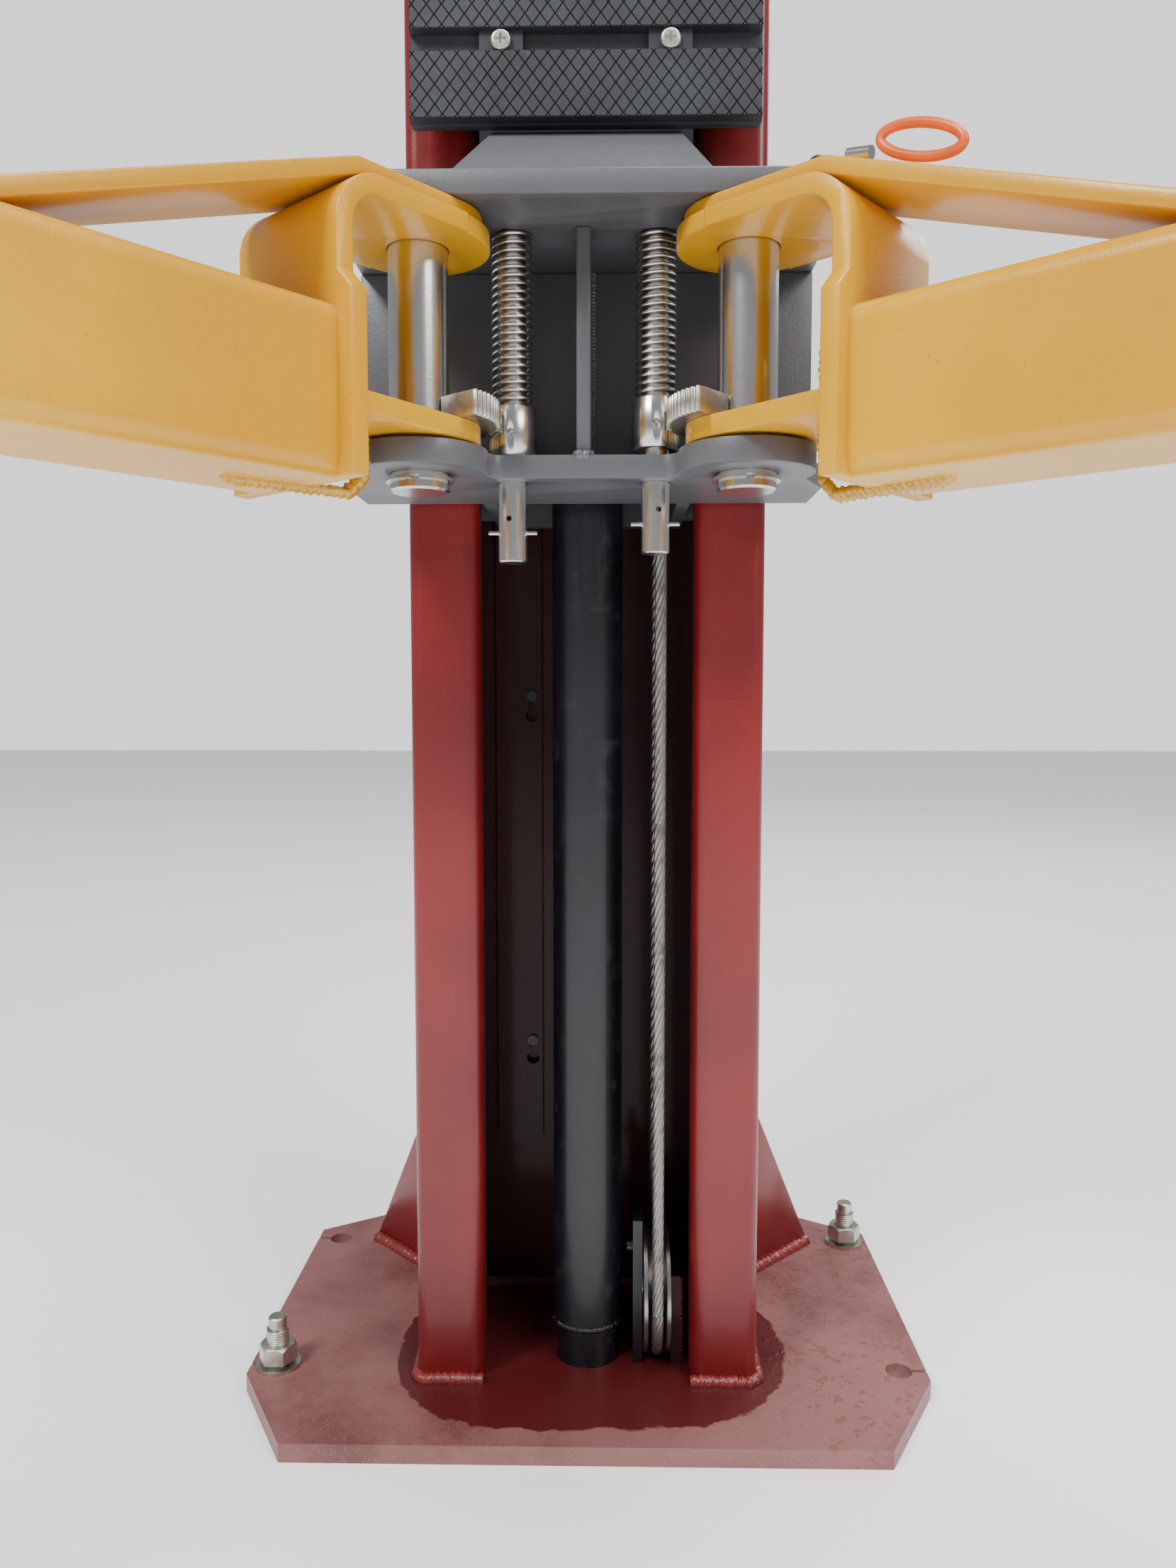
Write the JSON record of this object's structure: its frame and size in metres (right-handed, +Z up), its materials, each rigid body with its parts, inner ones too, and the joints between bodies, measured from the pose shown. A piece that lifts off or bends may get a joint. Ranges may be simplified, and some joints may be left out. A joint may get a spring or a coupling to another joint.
{
  "type": "two-post lift column with carriage and swing arms",
  "caption": "Column of a vehicle lift: base plate, sliding carriage, telescoping swing arms with screw pads, sprung arm locks, lifting cylinder, chain and equalising rope.",
  "frame": {"origin": "on the floor, under the middle of the column's open front face", "axes": "+Z up the column, +Y from the open front face into the column, +X to the right as seen from the bay"},
  "size_m": [1.346, 1.0662, 2.83],
  "materials": {
    "red_paint": "glossy deep red paint",
    "faded_red": "worn red paint",
    "grey_paint": "satin grey paint",
    "yellow_paint": "glossy yellow paint",
    "steel": "ground steel",
    "zinc": "zinc plated",
    "rope": "stranded wire",
    "black_paint": "black paint",
    "rubber": "matt black rubber",
    "plastic": "pale plastic",
    "orange": "orange sleeve"
  },
  "bodies": {
    "post": {"base_plate": "faded_red", "column": "red_paint", "base_gussets": "red_paint", "column_top_plate": "red_paint", "anchor_bolts": "zinc", "cylinder_barrel": "black_paint", "sheave_bracket": "black_paint", "sheave_axle": "steel", "rope_rear": "rope", "hose_guard": "red_paint", "hose_guard_studs": "zinc", "chain_rear": "steel"},
    "carriage": {"carriage_back_plate": "grey_paint", "carriage_head_plate": "grey_paint", "carriage_foot_plate": "grey_paint", "carriage_rib": "grey_paint", "carriage_head_gusset": "grey_paint", "carriage_frame": "grey_paint", "slider_blocks": "plastic", "door_rubber": "rubber", "door_rubber_screws": "zinc", "rope_anchor": "grey_paint", "rope_front": "rope", "arm_pins": "steel", "pin_circlips": "steel", "chain_front": "steel", "chain_lug": "grey_paint", "left_lock_spring": "steel", "right_lock_spring": "steel"},
    "rope_sheave": {"rope_sheave": "steel"},
    "rod": {"cylinder_rod": "steel", "roller_fork": "steel"},
    "chain_roller": {"chain_roller": "steel"},
    "right_arm": {"right_yoke": "yellow_paint", "right_lower_ear": "yellow_paint", "right_brace": "yellow_paint", "right_arm_tube": "yellow_paint", "right_gear_segment": "zinc"},
    "left_arm": {"left_yoke": "yellow_paint", "left_lower_ear": "yellow_paint", "left_brace": "yellow_paint", "left_arm_tube": "yellow_paint", "left_gear_segment": "zinc"},
    "right_inner_arm": {"right_inner_arm": "yellow_paint"},
    "left_inner_arm": {"left_inner_arm": "yellow_paint"},
    "right_pad": {"right_pad_screw": "steel", "right_pad_plate": "steel", "right_pad_rubber": "rubber"},
    "left_pad": {"left_pad_screw": "steel", "left_pad_plate": "steel", "left_pad_rubber": "rubber"},
    "right_lock": {"right_lock_shaft": "steel", "right_lock_block": "steel", "right_lock_cotter": "steel", "pull_cord": "rope", "pull_ferrule": "steel", "pull_loop": "orange"},
    "left_lock": {"left_lock_shaft": "steel", "left_lock_block": "steel", "left_lock_cotter": "steel"}
  },
  "joints": [
    {"name": "carriage_lift", "type": "slide", "parent": "post", "child": "carriage", "axis": [0, 0, 1], "range_m": [-0.58, 1], "deforming": ["rope_front", "chain_front"]},
    {"name": "rod_lift", "type": "slide", "parent": "post", "child": "rod", "axis": [0, 0, 1], "range_m": [-0.29, 0.5], "deforming": ["chain_rear"]},
    {"name": "chain_roller_spin", "type": "hinge", "parent": "rod", "child": "chain_roller", "pos_m": [0, 0.045, 1.493], "axis": [1, 0, 0], "continuous": true},
    {"name": "rope_sheave_spin", "type": "hinge", "parent": "post", "child": "rope_sheave", "pos_m": [0.0585, 0.054, 0.07], "axis": [1, 0, 0], "continuous": true},
    {"name": "right_arm_swing", "type": "hinge", "parent": "carriage", "child": "right_arm", "pos_m": [0.11, -0.125, 0.8], "axis": [0, 0, 1], "range_deg": [-45, 45]},
    {"name": "left_arm_swing", "type": "hinge", "parent": "carriage", "child": "left_arm", "pos_m": [-0.11, -0.125, 0.8], "axis": [0, 0, 1], "range_deg": [-45, 36]},
    {"name": "right_arm_extend", "type": "slide", "parent": "right_arm", "child": "right_inner_arm", "axis": [0.7547, -0.6561, 0], "range_m": [0, 0.32]},
    {"name": "left_arm_extend", "type": "slide", "parent": "left_arm", "child": "left_inner_arm", "axis": [-0.6428, -0.766, 0], "range_m": [0, 0.32]},
    {"name": "right_pad_turn", "type": "hinge", "parent": "right_inner_arm", "child": "right_pad", "pos_m": [0.65113, -0.59539, 0.756], "axis": [0, 0, 1], "continuous": true},
    {"name": "left_pad_turn", "type": "hinge", "parent": "left_inner_arm", "child": "left_pad", "pos_m": [-0.57088, -0.67425, 0.756], "axis": [0, 0, 1], "continuous": true},
    {"name": "right_lock_lift", "type": "slide", "parent": "carriage", "child": "right_lock", "axis": [0, 0, 1], "range_m": [0, 0.0265], "stiffness_N_per_m": 600, "springref_m": -0.06, "deforming": ["right_lock_spring"]},
    {"name": "left_lock_lift", "type": "slide", "parent": "carriage", "child": "left_lock", "axis": [0, 0, 1], "range_m": [0, 0.0325], "stiffness_N_per_m": 600, "springref_m": -0.06, "deforming": ["left_lock_spring"]}
  ],
  "couplings": [
    {"joint": "rod_lift", "follows": "carriage_lift", "ratio": 0.5}
  ]
}
